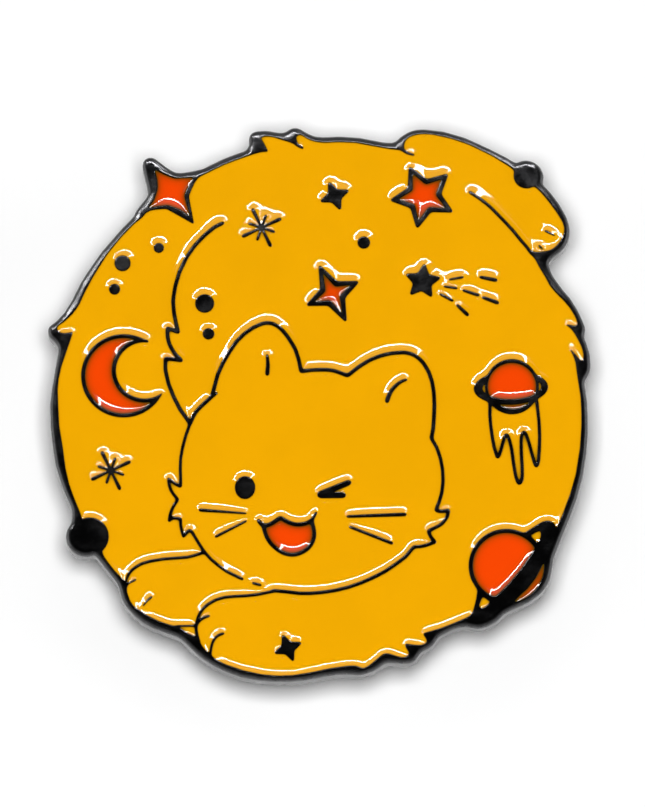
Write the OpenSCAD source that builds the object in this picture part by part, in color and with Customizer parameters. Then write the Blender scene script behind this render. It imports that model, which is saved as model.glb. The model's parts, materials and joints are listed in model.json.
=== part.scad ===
// Soft-enamel lapel pin: a winking cat curled up among stars and planets, die-struck and
// plated black, with recessed yellow and orange enamel. Two posts pass through the cloth and
// two butterfly clutches grip them from behind.
// The back face lies in z = 0, the artwork faces +Z and reads upright along +Y.

/* [Badge plate] */
// Thickness of the struck plate, back face to line tops
plate_t = 1.6;          // [1.2:0.1:2.4]
// Depth of the wells that hold the enamel
well_depth = 0.4;       // [0.2:0.05:0.6]
// How far the enamel lies below the line tops
enamel_drop = 0.1;      // [0.05:0.05:0.3]
// Width of a raised line
line_w = 0.26;          // [0.15:0.01:0.5]
// Width of the finer raised lines of cheeks and toes
fine_w = 0.2;           // [0.12:0.01:0.4]

/* [Posts] */
// Distance between the two posts
post_pitch = 20;        // [12:0.5:26]
// Diameter of the post's root, where the cloth sits
root_d = 1.5;           // [1.2:0.1:2]
// Diameter of the gripped shank
shank_d = 1.1;          // [0.9:0.05:1.3]
// Length of the post below the back face
post_len = 7.6;         // [6:0.1:9]
// Diameter of the soldered pad
pad_d = 2.4;            // [2:0.1:4]
// Thickness of the soldered pad
pad_t = 0.3;            // [0.2:0.05:0.5]

/* [Butterfly clutch] */
// Gap left for the cloth between the back face and the clutch
cloth_gap = 1.2;        // [0.8:0.1:2]
// Outside diameter of the clutch cap
cap_d = 11.4;           // [9:0.1:13]
// Thickness of the cap's sheet
cap_t = 0.3;            // [0.2:0.05:0.5]
// Thickness of the spring sheet
spring_t = 0.28;        // [0.2:0.02:0.4]
// Width of a wing across its outer end
wing_w = 6.4;           // [5:0.1:8]
// Half distance between the two fold lines of the wings
fold_y = 2.6;           // [2.2:0.1:3]
// Clearance between a jaw and the shank
grip_gap = 0.04;        // [0.02:0.01:0.1]

/* [Hidden] */
$fn = 32;
bend = 15;                         // most a drawn curve turns from one step to the next
art_shift = [0.3, -0.6];           // sets the middle of the outline on the axes
floor_z = plate_t - well_depth;
enamel_t = well_depth - enamel_drop;
post_x = post_pitch / 2;
cap_z = -cloth_gap;
seat = 0.05;                       // play between the spring base and its cap
black = [0.13, 0.13, 0.14];
yellow = [1, 0.68, 0.02];
orange = [0.98, 0.27, 0.02];
nickel = [0.78, 0.77, 0.74];

// ---- drawing helpers ----

// One point of the smooth curve that runs through the points p
function on_curve(p, i, t) = let (a = p[max(i - 1, 0)], b = p[i], c = p[i + 1],
    d = p[min(i + 2, len(p) - 1)])
    0.5 * (2 * b + (c - a) * t + (2 * a - 5 * b + 4 * c - d) * t * t
    + (3 * b - a - 3 * c + d) * t * t * t);

// How far the points p turn at point i, in degrees
function turn(p, i) = i < 1 || i > len(p) - 2 ? 0 : let (u = p[i] - p[i - 1],
    v = p[i + 1] - p[i]) acos(min(1, (u * v) / (norm(u) * norm(v))));

// The curve in short steps where it bends, without its last point
function curve(p) = [for (i = [0:len(p) - 2])
    let (n = max(1, ceil(max(turn(p, i), turn(p, i + 1)) / bend)))
    for (k = [0:n - 1]) on_curve(p, i, k / n)];

// A closed outline of smooth runs that meet in corners
function outline(runs) = [for (r = [0:len(runs) - 1])
    each curve(concat(runs[r], [runs[(r + 1) % len(runs)][0]]))];

// Points of an arc about c, from angle a to angle b
function arc(c, r, a, b) = let (n = max(2, ceil(abs(b - a) / 18)))
    [for (k = [0:n]) c + r * [cos(a + (b - a) * k / n), sin(a + (b - a) * k / n)]];

function reversed(p) = [for (i = [len(p) - 1:-1:0]) p[i]];

// A raised line with round ends, w0 wide at its start and w1 at its end
module line(p, w0 = line_w, w1 = 0) {
    q = concat(curve(p), [p[len(p) - 1]]);
    n = len(q) - 1;
    we = w1 == 0 ? w0 : w1;
    side = [for (i = [0:n]) let (d = q[min(i + 1, n)] - q[max(i - 1, 0)],
        h = (w0 + (we - w0) * i / n) / 2) [-d[1], d[0]] * h / norm(d)];
    polygon(concat([for (i = [0:n]) q[i] + side[i]], [for (i = [n:-1:0]) q[i] - side[i]]));
    translate(q[0]) circle(d = w0, $fn = 8);
    translate(q[n]) circle(d = we, $fn = 8);
}

module lines(runs, w = line_w) {
    for (r = runs) line(r, w);
}

// A pointed star with n tips, two tip radii in turn
module star(c, n, tip, valley, turn, tip2 = 0) {
    t2 = tip2 == 0 ? tip : tip2;
    translate(c) rotate(turn) polygon([for (k = [0:2 * n - 1])
        let (r = k % 2 == 1 ? valley : (k % 4 == 0 ? tip : t2))
        r * [cos(180 * k / n), sin(180 * k / n)]]);
}

// A burst of four long and four short strokes that swell outwards
module burst(c) {
    translate(c) {
        circle(r = 0.24, $fn = 8);
        for (k = [0:3]) {
            rotate(25.5 + 90 * k) line([[0.1, 0], [1.42, 0]], 0.13, 0.27);
            rotate(71 + 90 * k) line([[0.1, 0], [0.93, 0]], 0.12, 0.2);
        }
    }
}

// ---- the outer outline ----

plate_edge = [
    [[-12.6, 17.5], [-12.45, 17.95], [-12.05, 18.1], [-11.7, 18], [-11.05, 17.5],
        [-10.45, 17.1], [-10, 17], [-9, 17.15], [-8.4, 17.3], [-7, 18], [-6.1, 18.35],
        [-5.45, 18.6], [-5.2, 18.95], [-5.2, 19.45], [-5.05, 19.8], [-4.7, 19.95],
        [-4, 20], [-3, 19.85], [-2.6, 19.95], [-2.3, 20.15], [-2, 20.2], [-1.7, 20.15],
        [-1.2, 19.85], [-0.6, 19.6], [0.2, 19.55], [1, 19.6], [2.5, 19.5], [4, 19.2],
        [4.65, 19.15], [5, 19.25], [5.3, 19.55], [5.75, 19.85], [6.3, 20.05], [7, 20.1],
        [8.3, 19.95], [9.8, 19.5], [11.4, 18.75], [12.65, 18.1], [13, 17.87]],
    arc([14, 16.65], 1.24, 122, -20),
    [[15.3, 16.05], [15.75, 15.55], [16.3, 14.8], [16.75, 14], [17, 13.2], [17, 12.5],
        [16.75, 11.8], [16.3, 11.3], [15.9, 11], [15.6, 10.6], [15.65, 10.2],
        [15.9, 9.6], [16.5, 8.75], [17.05, 8.1], [17.6, 7.2], [17.95, 6.4],
        [18.1, 5.85], [18, 5.4], [18.2, 4.8], [18.4, 4.1], [18.45, 3.4], [18.4, 2.9],
        [18.2, 2.5], [18.05, 2.2], [18.05, 1.8], [18.2, 0.8], [18.25, -0.5],
        [18.25, -1.4], [18.15, -2.8], [17.9, -4.4], [17.5, -6], [16.95, -7.5],
        [16.4, -8.85], [16.05, -9.75], [15.85, -10.3], [15.75, -11], [15.6, -11.7],
        [15.25, -12.4], [14.8, -12.9], [14.2, -13.35], [13.2, -13.8], [12.45, -14.2],
        [12, -14.65], [11.35, -15.05], [10.6, -15.25], [9.8, -15.1], [9, -15.25],
        [8.3, -15.6], [7.9, -15.85], [7.6, -16.3], [7.25, -16.6], [6.7, -16.9],
        [6.4, -17.35], [6.1, -17.6], [5.5, -17.7], [4.8, -17.65], [4.3, -17.65],
        [3.9, -17.9], [3.45, -18.2], [2.9, -18.4], [2.4, -18.5], [1.8, -18.45],
        [1, -18.45], [0, -18.6], [-1.3, -18.85], [-2.4, -18.95], [-3.5, -18.95],
        [-4.6, -18.85], [-5.7, -18.65], [-6.8, -18.25], [-7.6, -17.85], [-8.3, -17.4],
        [-8.9, -16.9], [-9.4, -16.4], [-9.9, -15.95], [-10.3, -15.75], [-11, -15.5],
        [-11.8, -15.2], [-12.5, -14.8], [-13.1, -14.3], [-13.6, -13.75], [-13.9, -13.2],
        [-14.1, -12.5], [-14.3, -12], [-14.75, -11.4], [-15.25, -10.75], [-15.6, -10.3]],
    arc([-16.4, -8.75], 1.42, -66, -222),
    [[-17.4, -7.2], [-17.42, -6.85], [-17.6, -6.35], [-17.9, -5.7], [-18.25, -4.7],
        [-18.55, -3.7], [-18.75, -2.4], [-18.9, -1], [-18.95, 0.5], [-18.8, 1.8],
        [-18.6, 3], [-18.45, 3.9], [-18.4, 4.6], [-18.65, 5], [-19, 5.35],
        [-19.1, 5.8], [-19, 6.1], [-18.5, 6.5], [-18, 7.05], [-17.45, 7.95],
        [-16.85, 9.2], [-16.35, 10], [-15.95, 10.6], [-15.4, 11.4], [-14.05, 13],
        [-13.2, 13.9], [-13, 14.35], [-12.3, 15.25], [-12.2, 15.7], [-12.45, 16.75]]
];

// ---- the inner edge of the rim around the yellow field ----

rim_edge = [
    [[-8.6, 16.7], [-7.9, 17.05], [-7, 17.5], [-6, 17.9], [-5, 18.25], [-4.3, 18.45]],
    [[-3.85, 18.45], [-4.02, 18.8], [-4.2, 19.15]],
    [[-4.4, 19.45], [-4.1, 19.55], [-3.5, 19.5], [-2.9, 19.3], [-2.4, 19.15]],
    [[-2.05, 19], [-1.92, 19.5], [-1.75, 19.68], [-1.5, 19.62], [-1.2, 19.42],
        [-0.7, 19.2], [0.1, 19.1], [1, 19.15], [2.2, 19.1], [3.5, 18.85], [4.6, 18.65]],
    [[5.25, 18.58]],
    [[5.53, 18.65], [5.6, 19.15], [5.8, 19.42], [6.2, 19.62], [6.8, 19.72],
        [7.5, 19.7], [8.9, 19.38], [10.1, 18.95], [11.7, 18.15], [12.9, 17.38]],
    arc([14.05, 16.75], 0.9, 157, 294),
    [[14.58, 16.02], [15, 15.63], [15.5, 15.03], [16.1, 14.2], [16.47, 13.6],
        [16.65, 13.1], [16.6, 12.55], [16.3, 12], [15.9, 11.6], [15.5, 11.42],
        [14.95, 11.33], [14.6, 11.35]],
    [[14.3, 11.45]],
    [[14.35, 11.2], [14.65, 10.8], [14.95, 10.2], [15.35, 9.55], [15.65, 8.95],
        [16.1, 8.4], [16.6, 7.9], [17.05, 7.35], [17.4, 6.75]],
    [[17.6, 6.2], [17.4, 6.08], [17.1, 6.17]],
    [[16.7, 6.22], [17.15, 5.85], [17.5, 5.3], [17.8, 4.7], [17.97, 4.05]],
    [[17.93, 3.6], [17.7, 3.7], [17.4, 4.1]],
    [[17, 4.5], [17.25, 4], [17.42, 3.5], [17.47, 3], [17.6, 2.1], [17.75, 1.1],
        [17.8, 0], [17.8, -1], [17.7, -2.5], [17.4, -4.4], [17, -5.8], [16.5, -7.15]],
    [[16.05, -8.2], [15.9, -7.85], [15.65, -7.68], [15.35, -7.65], [14.95, -7.8],
        [14.4, -8.15]],
    arc([12.6, -10.85], 2.62, 62, 219),
    [[10.58, -12.6], [10.5, -13.2], [10.35, -13.8], [10.2, -14.2], [9.9, -14.45],
        [9, -14.85], [8, -15.25], [7.3, -15.45]],
    [[6.8, -15.6], [7, -15.9], [7.12, -16.15], [6.95, -16.35], [6.5, -16.42],
        [6, -16.37]],
    [[5.58, -16.3], [5.65, -16.6], [5.87, -16.95], [5.75, -17.2], [5.4, -17.28],
        [4.9, -17.15], [4.45, -17], [4.1, -17.03], [3.7, -17.35], [3.2, -17.78],
        [2.7, -18.05], [2.4, -17.92], [2.1, -17.85], [1.4, -17.9], [0.4, -18.05],
        [-0.9, -18.33], [-2.1, -18.53], [-3.2, -18.57], [-4.3, -18.47],
        [-5.6, -18.18], [-6.7, -17.8], [-7.5, -17.38]],
    [[-7.85, -17.05], [-8.2, -16.75], [-8.6, -16.2]],
    [[-8.85, -15.82], [-9.4, -15.58]],
    [[-10, -15.15], [-10.7, -14.97], [-11.4, -14.72], [-12.1, -14.37], [-12.65, -14],
        [-13.1, -13.7], [-13.4, -13.25], [-13.57, -12.75], [-13.6, -12.4]],
    [[-13.5, -12.1]],
    [[-13.75, -11.92], [-14.15, -11.5], [-14.5, -11.12], [-14.9, -10.6],
        [-15.2, -10.15]],
    arc([-16.2, -8.78], 1.35, -50, 100),
    [[-16.7, -7.6], [-16.8, -7.2], [-17, -6.7], [-17.3, -5.95], [-17.6, -5.1],
        [-17.85, -4], [-18.05, -2.5], [-18.3, -1], [-18.38, 0.5], [-18.42, 1.6],
        [-18.35, 2.4], [-18.15, 3.3], [-17.8, 4.35], [-17.55, 5.1]],
    [[-17.35, 5.7], [-17.9, 5.58], [-18.3, 5.65], [-18.5, 5.9], [-18.4, 6.12],
        [-18, 6.38], [-17.45, 6.9], [-17, 7.5], [-16.55, 8.5], [-15.95, 9.65],
        [-15, 11.2], [-14.05, 12.4], [-13.2, 13.3], [-12.6, 13.78]],
    [[-12.42, 14.02], [-12, 14.3]],
    [[-10.9, 14.4]],
    [[-9, 13.3]],
    [[-9.37, 15.3], [-8.95, 16.3]]
];

// ---- the drawn lines ----

tail = [
    [[-7, 13.4], [-7.6, 13.1], [-8.3, 12.5], [-8.95, 11.8], [-9.5, 11], [-10, 9.95],
        [-10.3, 8.9], [-10.45, 7.9], [-10.38, 7], [-10.22, 6.2], [-10.08, 5.65]],
    [[-10.08, 5.65], [-10.83, 5.95]],
    [[-10.83, 5.95], [-10.82, 5.3], [-10.63, 4.65], [-10.3, 4.1], [-9.85, 3.65]],
    [[-9.85, 3.65], [-10.97, 3.8]],
    [[-10.97, 3.8], [-10.97, 3], [-10.75, 2], [-10.4, 1.1], [-9.95, 0.2], [-9.25, -0.8]]
];

ears = [
    [[-9.25, -0.8], [-8.9, -0.05], [-8.4, 0.5], [-7.75, 1.1]],
    [[-7.75, 1.1], [-7.57, 1.8], [-7.35, 2.65], [-7, 3.45], [-6.55, 4.25], [-6.05, 5],
        [-5.5, 5.55], [-4.9, 5.98], [-4.35, 6.23], [-3.9, 6.32], [-3.45, 6.22],
        [-2.95, 5.87], [-2.45, 5.25], [-2, 4.5], [-1.75, 3.75], [-1.58, 2.87]],
    [[-1.58, 2.87], [-0.95, 2.97], [-0.1, 3], [0.7, 2.93], [1.63, 2.57]],
    [[1.63, 2.57], [2.4, 3.2], [3.15, 3.67], [3.9, 3.98], [4.65, 4.16], [5.4, 4.22],
        [5.95, 4.15], [6.45, 3.9], [6.9, 3.45], [7.25, 2.85], [7.48, 2.15], [7.6, 1.4],
        [7.64, 0.5], [7.6, -0.5], [7.55, -1.2], [7.42, -1.85]]
];

right_cheek = [
    [[7.42, -1.85], [7.8, -2.5], [8.05, -3.25], [8.2, -4.05], [8.23, -4.9],
        [8.15, -5.65], [7.97, -6.3], [7.72, -6.93]],
    [[7.72, -6.93], [8.1, -7.03], [8.6, -6.9]],
    [[8.6, -6.9], [8.53, -7.35], [8.2, -7.83], [7.8, -8.1], [7.2, -8.38]],
    [[7.2, -8.38], [7.37, -8.8], [7.68, -9.17]],
    [[7.68, -9.17], [7, -9.42], [6.55, -9.5], [6.2, -9.5]]
];

chin = [[6.2, -9.5], [5.65, -10.2], [5, -10.7], [4.25, -11.22], [3.5, -11.62],
    [2.6, -12.03], [1.7, -12.35], [0.8, -12.57], [0, -12.7], [-0.9, -12.78],
    [-1.7, -12.78], [-2.5, -12.68], [-3.5, -12.58]];

right_paw = [[-3.5, -12.64], [-4.6, -12.87], [-5.3, -12.95], [-6.1, -12.99],
    [-6.85, -13.06], [-7.45, -13.23], [-8, -13.55], [-8.45, -14], [-8.7, -14.52],
    [-8.82, -15.06]];

left_cheek = [
    [[-9.25, -0.8], [-9.55, -1.65], [-9.77, -2.5], [-9.9, -3.25], [-9.93, -4],
        [-9.9, -4.7], [-9.9, -5.27]],
    [[-9.9, -5.27], [-10.35, -5.03], [-10.75, -4.68]],
    [[-10.75, -4.68], [-10.67, -5.25], [-10.45, -5.73], [-10.08, -6.18]],
    [[-10.08, -6.18], [-10.4, -6.65], [-10.6, -7.15], [-10.7, -7.7]],
    [[-10.7, -7.7], [-10.5, -7.47]],
    [[-10.5, -7.47], [-9.88, -7.52]],
    [[-9.88, -7.52], [-9.9, -8], [-9.7, -8.8]],
    [[-9.7, -8.8], [-9.33, -8.33]],
    [[-9.33, -8.33], [-9.15, -8.4], [-8.8, -9], [-8.3, -9.8]]
];

left_arm = [[-13.57, -11.64], [-13.4, -11.3], [-13.05, -10.97], [-12.6, -10.7],
    [-12, -10.52], [-11.1, -10.37], [-10.2, -10.3], [-9.4, -10.24], [-8.8, -10.08],
    [-8.3, -9.9]];

lip = [
    [[-4.52, -7.64], [-4.3, -7.93], [-3.95, -8], [-3.5, -7.8], [-3.02, -7.44]],
    [[-3.02, -7.44], [-2.6, -7.7], [-2.15, -7.89], [-1.7, -7.94], [-1.2, -7.84],
        [-0.85, -7.66]]
];

jaw = [[-0.85, -7.66], [-0.67, -8.4], [-0.72, -9], [-1.05, -9.58], [-1.62, -9.95],
    [-2.2, -10.08], [-2.8, -9.95], [-3.3, -9.63], [-3.75, -9.17], [-4.02, -8.65],
    [-4.2, -8.02]];

drips = [[11.48, 0.8], [11.47, -0.2], [11.52, -0.85], [11.63, -1.75], [11.77, -2.5],
    [12.01, -3.15], [12.2, -2.8], [12.45, -1.85], [12.62, -1.58], [12.78, -1.85],
    [12.97, -2.6], [13.1, -3.62], [13.27, -4.6], [13.48, -5.05], [13.68, -4.75],
    [13.7, -4], [13.64, -2.87], [13.64, -1.8], [13.83, -1.38], [14.02, -1.7],
    [14.2, -2.27], [14.41, -3.1], [14.67, -3.82], [14.84, -3.3], [14.91, -1.75],
    [14.87, -0.7], [14.72, 0.8]];

// ---- regions ----

// The head, closed along the middle of its lines, with the left forearm it runs into
module head_area() {
    polygon(concat([for (r = ears) each curve(r)], [for (r = right_cheek) each curve(r)],
        curve(chin), curve(right_paw),
        [[-8.82, -15.06], [-10.1, -15.08], [-12, -16], [-15, -14], [-14.2, -12.1],
            [-13.6, -11.95]],
        curve(left_arm), [[-8.3, -9.8]],
        [for (k = [len(left_cheek) - 1:-1:0]) each reversed(curve(left_cheek[k]))]));
}

module mouth_area() {
    polygon(concat(curve(lip[0]), curve(lip[1]), curve(jaw)));
}

module small_ring_edge() {
    translate([12.93, 1.72]) rotate(2) scale([2.58, 1.2]) circle(r = 1, $fn = 44);
}

module small_ring_hole() {
    translate([13, 1.74]) rotate(2) scale([2.05, 0.83]) circle(r = 1, $fn = 36);
}

module planet_disc(x, y) {
    translate([13, 1.8]) scale([x, y]) circle(r = 1, $fn = 36);
}

module large_disc(r) {
    translate([12.6, -10.85]) circle(r = r, $fn = 44);
}

module moon_disc(r) {
    translate([-13.85, 2.57]) circle(r = r, $fn = 44);
}

module moon_bite(r) {
    translate([-12.4, 2.95]) circle(r = r, $fn = 40);
}

// Every raised shape inside the rim
module raised_lines() {
    lines(tail);
    lines(ears);
    lines(right_cheek, 0.23);
    line(chin, 0.24);
    lines(left_cheek, fine_w);
    line([[-8.3, -9.8], [-7.8, -10.38], [-7.25, -10.85], [-6.7, -11.25], [-6.1, -11.55],
        [-5.6, -11.79]], fine_w);
    line([[-4.93, -12.05], [-4.34, -12.21]], 0.18);
    line(right_paw, fine_w);
    line([[-8.82, -15.06], [-8.8, -15.5], [-8.6, -16.3]], fine_w);
    line([[-10.2, -15.08], [-8.85, -15.06]], 0.13);
    line(left_arm, fine_w);
    line([[-13.57, -11.64], [-13.66, -12]], 0.1);
    line([[-13.5, -12.1], [-13.28, -11.97], [-12.98, -11.81]], 0.07, 0.16);
    line([[-12.5, -13.7], [-12.2, -13.29], [-11.88, -13.02]], 0.08, 0.18);
    line([[-8.75, -14.95], [-8.6, -14.72], [-8.3, -14.5], [-7.9, -14.36]], 0.18);
    line([[-7.85, -17.1], [-7.75, -16.47], [-7.57, -16], [-7.27, -15.72],
        [-6.91, -15.59]], 0.16, 0.19);
    line([[10.1, 15.6], [10.85, 15.1], [11.5, 14.57], [12, 14.05], [12.6, 13.42],
        [13.15, 12.8], [13.6, 12.22], [14.05, 11.7], [14.4, 11.2]], 0.21);
    line([[15.33, 12.85], [16.03, 12.48]], 0.17, 0.08);
    line([[14.89, 11.8], [15.18, 11.52]], 0.16, 0.08);
    line([[5.35, 18.7], [5.75, 18.38], [6.28, 18.22]], 0.22, 0.13);
    line([[-2.02, 19.3], [-1.9, 18.98], [-1.45, 18.72]], 0.26, 0.18);
    line([[-7.75, 1.1], [-7.37, 1.36]], 0.2, 0.16);
    line([[-3.93, 4.05], [-3.87, 3.38], [-3.92, 2.68]], 0.2, 0.3);
    line([[4.36, 0.77], [4.56, 1.35], [4.93, 1.84], [5.37, 2.18], [5.73, 2.29]], 0.32, 0.18);
    face_marks();
    sky_marks();
    planets();
}

// Eye, wink, whiskers and the lines of the mouth
module face_marks() {
    translate([-5.45, -5.33]) scale([0.71, 0.82]) circle(r = 1, $fn = 26);
    line([[-0.28, -5.8], [1.72, -4.97]], 0.44, 0.4);
    line([[-0.26, -5.87], [1.34, -5.86]], 0.42);
    line([[-8.59, -6.91], [-5.33, -7.15]], 0.23, 0.12);
    line([[-7.49, -8.8], [-5.33, -7.67]], 0.19, 0.14);
    line([[1.59, -7.37], [5.62, -7.22]], 0.19, 0.26);
    line([[1.77, -8.09], [4.71, -9.26]], 0.19, 0.22);
    lines(lip, 0.28);
    line([[-0.85, -7.66], [-0.53, -7.07]], 0.22, 0.18);
    line(jaw, 0.26);
}

// Dots, bursts, stars, moon and the comet with its tail
module sky_marks() {
    for (d = [[-11.44, 11.63, 0.37], [-13.95, 10.54, 0.57], [-14.5, 8.7, 0.4],
            [-8.26, 7.69, 0.67], [-7.99, 5.54, 0.42], [2.76, 12.01, 0.45]])
        translate([d[0], d[1]]) circle(r = d[2], $fn = 18);
    burst([-4.32, 13.07]);
    burst([-14.72, -4.13]);
    soft() star([0.74, 15.32], 4, 1.22, 0.5, 22);
    soft() star([-2.48, -16.62], 4, 1.16, 0.47, 22);
    soft() star([0.6, 8.4], 4, 2.12, 0.92, 25, 2.36);
    soft() star([6.9, 15.3], 5, 2.42, 1.24, 43);
    soft() star([6.83, 9.25], 5, 1.4, 0.67, 12);
    difference() {
        moon_disc(2.95);
        moon_bite(2);
    }
    translate([-12.25, 5.02]) circle(r = 0.12, $fn = 8);
    for (s = [[[8.67, 9.38], [9.66, 9.56], 0.17], [[8.3, 8.9], [9.22, 8.76], 0.17],
            [[9.22, 7.58], [9.95, 6.88], 0.26], [[8.04, 8.36], [8.92, 7.88], 0.2],
            [[9.62, 8.63], [10.71, 8.27], 0.22], [[11, 8.12], [12.03, 7.74], 0.27],
            [[10.82, 9.56], [11.92, 9.34], 0.27]])
        line([s[0], s[1]], 0.8 * s[2], s[2]);
}

// The small ringed planet with its drips, and the ring of the large one
module planets() {
    planet_disc(1.87, 1.96);
    small_ring_edge();
    line(drips, 0.22);
    for (d = [[12, -3.13], [13.48, -4.98], [14.67, -3.75]])
        translate([d[0], d[1]]) circle(r = 0.18, $fn = 8);
}

// Takes the needle points off a star without moving its sides
module soft() {
    offset(r = 0.08, $fn = 8) offset(delta = -0.08) children();
}

// Clears away anything too thin to hold enamel
module fill() {
    offset(delta = 0.04) offset(delta = -0.04) children();
}

module field() {
    polygon(outline(rim_edge));
}

// One yellow cell: the field without its lines, inside or outside the other areas
module body_cell() {
    fill() difference() {
        field();
        raised_lines();
        head_area();
        sliver_area();
        drip_area();
    }
}

module sliver_area() {
    polygon([[-10.2, -15.08], [-8.82, -15.06], [-8.7, -16.2], [-10, -15.9]]);
}

module drip_area() {
    polygon(concat(curve(drips), [[14.72, 0.8], [13, 1.8]]));
}

module head_cell() {
    fill() difference() {
        intersection() {
            field();
            head_area();
        }
        mouth_area();
        raised_lines();
    }
}

module sliver_cell() {
    fill() difference() {
        intersection() {
            field();
            sliver_area();
        }
        raised_lines();
    }
}

module drip_cell() {
    fill() difference() {
        drip_area();
        raised_lines();
    }
}

module small_gap_cell(side) {
    fill() difference() {
        small_ring_hole();
        planet_disc(1.87, 1.96);
        translate([13 - side * 3, 1.8]) square(6, center = true);
    }
}

module small_planet_cell() {
    fill() intersection() {
        planet_disc(1.68, 1.69);
        union() {
            small_ring_hole();
            translate([13, 3.72]) square(4, center = true);
        }
    }
}

module small_planet_base_cell() {
    fill() difference() {
        translate([13.08, 1.82]) circle(r = 1.6, $fn = 36);
        small_ring_edge();
        translate([13, 3.8]) square(4, center = true);
    }
}

// Side of the large planet's ring band that faces the planet's upper half
band_top = [[15.4, -8.4], [14.68, -9.45], [13.62, -11.05], [12.82, -12.03],
    [11.7, -13.15], [10.9, -13.8]];
band_base = [[15.6, -9.6], [15.18, -10.6], [14.65, -11.65], [14.05, -12.45],
    [13.5, -12.95], [13.05, -13.45], [12.4, -14]];

module large_planet_cell() {
    fill() intersection() {
        large_disc(2.33);
        polygon(concat(curve(band_top), [[10.9, -13.8], [8, -12], [10, -6]]));
    }
}

module large_planet_base_cell() {
    fill() intersection() {
        large_disc(2.6);
        polygon(concat(curve(band_base), [[12.4, -14], [16, -16], [18, -9]]));
    }
}

module mouth_cell() {
    fill() difference() {
        mouth_area();
        lines(lip, 0.28);
        line(jaw, 0.26);
    }
}

module moon_cell() {
    fill() difference() {
        moon_disc(2.68);
        moon_bite(2.28);
    }
}

module corner_star_cell() {
    fill() polygon([[-11.75, 17.2], [-11.1, 16.85], [-10.35, 16.55], [-9.02, 16.62],
        [-9.4, 16.05], [-9.7, 15.35], [-9.5, 14.6], [-9.25, 13.85], [-9.95, 14.35],
        [-10.8, 14.68], [-11.5, 14.6], [-12.2, 14.45], [-11.75, 15.05], [-11.52, 15.8],
        [-11.55, 16.5]]);
}

module five_star_cell() {
    fill() star([6.9, 15.3], 5, 1.78, 0.84, 43);
}

module four_star_cell() {
    fill() star([0.6, 8.4], 4, 1.42, 0.5, 25, 1.6);
}

module large_top_cell() {
    fill() polygon([[14.25, -8.7], [14.9, -8.36], [15, -8.5], [14.93, -8.95],
        [14.75, -9.25]]);
}

module large_foot_cell() {
    fill() polygon([[10.95, -13], [11.48, -13.38], [11.2, -13.68], [10.85, -13.88],
        [10.68, -13.68]]);
}

// A block of enamel standing in its well; the wells are cut with the same block, made taller
module pour(h) {
    translate([art_shift[0], art_shift[1], floor_z]) linear_extrude(h) children();
}

// ---- badge ----

module badge_plate() {
    color(black) difference() {
        translate(art_shift) linear_extrude(plate_t) polygon(outline(plate_edge));
        pour(1) body_cell();
        pour(1) head_cell();
        pour(1) sliver_cell();
        pour(1) drip_cell();
        for (s = [-1, 1]) pour(1) small_gap_cell(s);
        pour(1) large_top_cell();
        pour(1) large_foot_cell();
        pour(1) corner_star_cell();
        pour(1) moon_cell();
        pour(1) five_star_cell();
        pour(1) four_star_cell();
        pour(1) small_planet_cell();
        pour(1) small_planet_base_cell();
        pour(1) large_planet_cell();
        pour(1) large_planet_base_cell();
        pour(1) mouth_cell();
    }
}

module body_enamel() { color(yellow) pour(enamel_t) body_cell(); }
module head_enamel() { color(yellow) pour(enamel_t) head_cell(); }
module paw_sliver_enamel() { color(yellow) pour(enamel_t) sliver_cell(); }
module drip_enamel() { color(yellow) pour(enamel_t) drip_cell(); }
module small_ring_left_enamel() { color(yellow) pour(enamel_t) small_gap_cell(-1); }
module small_ring_right_enamel() { color(yellow) pour(enamel_t) small_gap_cell(1); }
module large_ring_top_enamel() { color(yellow) pour(enamel_t) large_top_cell(); }
module large_ring_foot_enamel() { color(yellow) pour(enamel_t) large_foot_cell(); }
module corner_star_enamel() { color(orange) pour(enamel_t) corner_star_cell(); }
module moon_enamel() { color(orange) pour(enamel_t) moon_cell(); }
module five_star_enamel() { color(orange) pour(enamel_t) five_star_cell(); }
module four_star_enamel() { color(orange) pour(enamel_t) four_star_cell(); }
module small_planet_enamel() { color(orange) pour(enamel_t) small_planet_cell(); }
module small_planet_base_enamel() { color(orange) pour(enamel_t) small_planet_base_cell(); }
module large_planet_enamel() { color(orange) pour(enamel_t) large_planet_cell(); }
module large_planet_base_enamel() { color(orange) pour(enamel_t) large_planet_base_cell(); }
module mouth_enamel() { color(orange) pour(enamel_t) mouth_cell(); }

// ---- fastening ----

// A turned post: soldered pad, thick root for the cloth, shank with a catch groove, point
module post() {
    root_end = -(cloth_gap - 0.05);
    groove = -(post_len - 1.8);            // middle of the catch groove
    neck = shank_d / 2 - 0.12;
    color(black) rotate_extrude() polygon([[0, 0], [pad_d / 2, 0], [pad_d / 2, -pad_t],
        [root_d / 2, -pad_t], [root_d / 2, root_end + 0.1], [shank_d / 2, root_end - 0.1],
        [shank_d / 2, groove + 0.35], [neck, groove + 0.15], [neck, groove - 0.15],
        [shank_d / 2, groove - 0.35], [shank_d / 2, -(post_len - 1)], [0.1, -post_len],
        [0, -post_len]]);
}

module left_post() { translate([-post_x, 0, 0]) post(); }
module right_post() { translate([post_x, 0, 0]) post(); }

// Round cap of the clutch: a disc with its wall turned in under the spring base
module cap() {
    r = cap_d / 2;
    base_gap = spring_t + 2 * seat;
    color(nickel) rotate_extrude() polygon([[0.85, 0], [r - 0.25, 0], [r - 0.07, -0.07],
        [r, -0.25], [r, -(2 * cap_t + base_gap)], [r - 0.8, -(2 * cap_t + base_gap)],
        [r - 0.8, -(cap_t + base_gap)], [r - cap_t, -(cap_t + base_gap)],
        [r - cap_t, -cap_t], [0.85, -cap_t]]);
}

module left_cap() { translate([-post_x, 0, cap_z]) cap(); }
module right_cap() { translate([post_x, 0, cap_z]) cap(); }

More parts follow.
